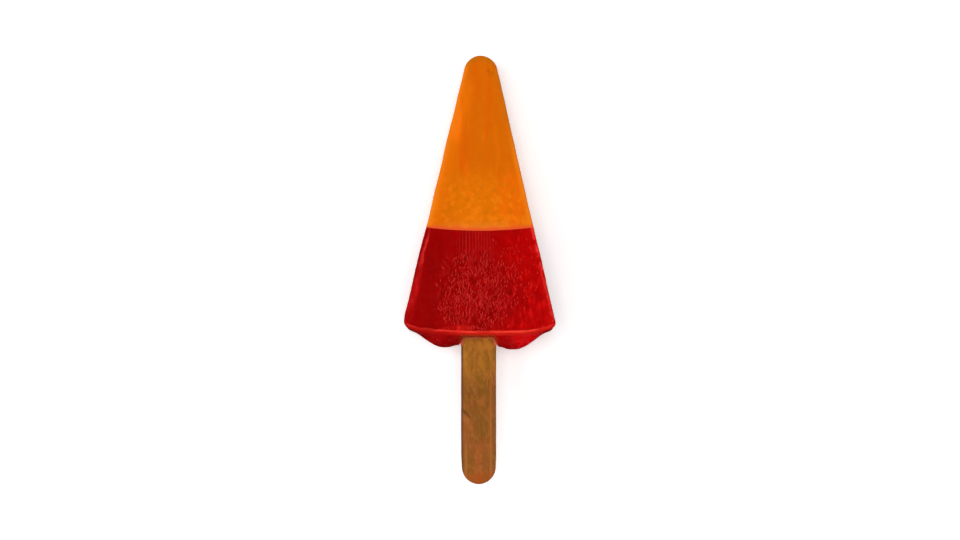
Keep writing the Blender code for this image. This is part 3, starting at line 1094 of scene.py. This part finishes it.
def woodFinish():
    look = woodLook
    finish, tree, shader = newFinish("stickWood", look["specular"])
    place, x, s = barPlace(tree)[:3]
    # lighter towards the ice, partly its own tone and partly painted light against the ice's shade; brighter
    # still just below it
    colour = blend(tree, ramp(tree, s, *look["topToMain"]), look["top"], look["main"])
    colour = blend(tree, ramp(tree, s, *look["mainToLow"]), colour, look["low"])
    colour = paint(tree, colour, look["paintedLightUnderIce"], ramp(tree, s, *look["paintedLightAlong"]))
    colour = paint(tree, colour, look["olive"], patches(tree, place, *look["olivePatches"]))
    rust = patches(tree, place, *look["rustPatches"])
    colour = paint(tree, colour, look["rust"], rust, ramp(tree, s, *look["rustAlong"]))

    # grain, in fine fibres and in strokes that lean a little both ways
    fibres = noise(tree, place, *look["fibres"])
    colour = paint(tree, colour, look["grainDark"], ramp(tree, fibres, *look["fibreFade"]))
    darker = strokes(tree, place, look["strokeLean"], look["strokeScales"][0])
    lighter = strokes(tree, place, -look["strokeLean"], look["strokeScales"][1])
    colour = paint(tree, colour, look["grainDark"], ramp(tree, darker, *look["darkStrokes"]))
    colour = paint(tree, colour, look["grainLight"], ramp(tree, lighter, *look["lightStrokes"]))
    dashes = patches(tree, place, *look["dashes"])
    colour = paint(tree, colour, look["fleck"], spot(tree, x, s, *look["fleckSpot"]), dashes)

    # a slanting mark at the left, paler below it
    slant = calc(tree, "MULTIPLY_ADD", x, look["slant"], s)
    colour = paint(tree, colour, look["pale"], spot(tree, x, slant, *look["paleSpot"]))
    colour = paint(tree, colour, look["knot"], spot(tree, x, slant, *look["knotSpot"]))

    # a light line down the right and one low on the left
    for middle, across, along in look["lines"]:
        line = ramp(tree, off(tree, x, middle), *across)
        colour = paint(tree, colour, look["lightLine"], line, ramp(tree, s, *along))

    # the browner end, and the dark edges
    blotches = patches(tree, place, *look["endBlotches"])
    colour = paint(tree, colour, look["end"], ramp(tree, s, *look["endAlong"]), blotches)
    fromMiddle = calc(tree, "SUBTRACT", stick["x"] / mm, x)
    for fade in look["edgeFades"]:
        colour = paint(tree, colour, look["edge"], ramp(tree, fromMiddle, *fade))
    coat(tree, shader, colour, ramp(tree, fibres, *look["dullness"]))
    bump(tree, shader, fibres, *look["bump"])
    return finish


filmLook = {
    "main": (208, 98, 64),
    "light": (240, 132, 94),
    # painted shadow where the rim shades the film
    "rimShadow": (136, 14, 4),
    "stripAcross": (3.7, 4),
    "stripAlong": (80.8, 81.4),
    "endAlong": (81.1, 81.4),
    "lightAlong": (81.4, 82),
    "grain": (900, 2),
    "grainFade": (0.45, 0.7, 0, 0.5),
    "specular": 0.1,
    "roughness": 0.3,
    "bump": (0.1 * mm, 0.4),
}


def filmFinish():
    look = filmLook
    finish, tree, shader = newFinish("iceFilm", look["specular"])
    place, x, s = barPlace(tree)[:3]
    # the film is painted dark as the rim's shadow, except on the edge strips and further along the stick
    onStrip = ramp(tree, off(tree, x, stick["x"] / mm), *look["stripAcross"])
    onStrip = calc(tree, "MULTIPLY", onStrip, ramp(tree, s, *look["stripAlong"]))
    outOfRimShadow = calc(tree, "MAXIMUM", onStrip, ramp(tree, s, *look["endAlong"]))
    colour = blend(tree, outOfRimShadow, look["rimShadow"], look["main"])
    grain = noise(tree, place, *look["grain"])
    lightGrain = ramp(tree, grain, *look["grainFade"])
    colour = paint(tree, colour, look["light"], lightGrain, ramp(tree, s, *look["lightAlong"]))
    coat(tree, shader, colour, look["roughness"])
    bump(tree, shader, grain, *look["bump"])
    return finish


frostLook = {
    "pale": (200, 42, 38),
    "dull": (172, 16, 14),
    "right": (212, 34, 30),
    "patches": (700, 2, (1, 1, 1), 0.35, 0.65),
    "rightAcross": (4, 16, 0, 0.8),
    "specular": 0.05,
    "roughness": 0.42,
}


def frostFinish():
    look = frostLook
    finish, tree, shader = newFinish("frost", look["specular"])
    place, x = barPlace(tree)[:2]
    colour = blend(tree, patches(tree, place, *look["patches"]), look["dull"], look["pale"])
    colour = paint(tree, colour, look["right"], ramp(tree, x, *look["rightAcross"]))
    coat(tree, shader, colour, look["roughness"])
    return finish


for piece, made, node, slotName in (
    (orangeIce, orangeFinish(), "orange_ice", "orange_ice"),
    (redIce, redFinish(), "red_ice", "red_ice"),
    (woodenStick, woodFinish(), "stick", "stick_wood"),
    (iceFilm, filmFinish(), None, "red_ice"),
    (frostCrystals, frostFinish(), None, "red_ice"),
):
    piece.data.materials.clear()
    piece.data.materials.append(made)
    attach(piece, "root")
    if node:
        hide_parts(node)
print("pieces and finishes ready")


# Floor, lights and camera
studio = {
    "floor": (250, 250, 250),
    "floorSize": 3,
    "floorGlow": 0.23,
    "floorSpecular": 0.1,
    "floorRoughness": 0.9,
    "white": (1, 1, 1, 1),
    "world": 0.27,
    "lamps": (  # name, place, size, watts, seen in reflections
        ("overhead", (0, 0, 1.5), 0.9, 9.5, False),
        ("keyLeft", (-0.9, 0.1, 0.85), 0.8, 6.2, True),
        ("fillBase", (0, -1, 0.8), 0.9, 1.5, True),
        ("fillTip", (0, 1, 0.85), 0.9, 1.8, True),
        ("fillRight", (0.9, 0, 0.85), 0.9, 2.6, True),
    ),
    "camera": (0, -0.0005, 0.661),  # straight above the part
    "lens": 85,
    "sensor": 36,
}


def layFloor():
    bpy.ops.mesh.primitive_plane_add(size=studio["floorSize"], location=(0, 0, 0))
    sheet = newPiece("paleFloor")
    finish, tree, shader = newFinish("floorPaper", studio["floorSpecular"])
    shader.inputs["Base Color"].default_value = srgb(*studio["floor"])
    shader.inputs["Roughness"].default_value = studio["floorRoughness"]
    shader.inputs["Emission Color"].default_value = studio["white"]
    shader.inputs["Emission Strength"].default_value = studio["floorGlow"]
    sheet.data.materials.append(finish)
    sheet.visible_glossy = False


def softBox(name, place, size, watts, shows):
    bpy.ops.object.light_add(type="AREA", location=place)
    lamp = bpy.context.active_object
    lamp.name = name
    lamp.data.size = size
    lamp.data.energy = watts
    lamp.rotation_euler = (-Vector(place)).to_track_quat("-Z", "Y").to_euler()
    lamp.visible_glossy = shows


def lightWorld():
    world = bpy.data.worlds.new("studio")
    world.use_nodes = True
    background = world.node_tree.nodes["Background"]
    background.inputs["Color"].default_value = studio["white"]
    background.inputs["Strength"].default_value = studio["world"]
    world.cycles_visibility.glossy = False  # only the lamps show in the wet ice
    bpy.context.scene.world = world
    bpy.context.scene.view_settings.view_transform = "Standard"


def placeCamera():
    bpy.ops.object.camera_add(location=studio["camera"], rotation=(0, 0, 0))
    camera = bpy.context.active_object
    camera.data.lens = studio["lens"]
    camera.data.sensor_width = studio["sensor"]
    bpy.context.scene.camera = camera


layFloor()
for lampSettings in studio["lamps"]:
    softBox(*lampSettings)
lightWorld()
placeCamera()
print("stage ready")
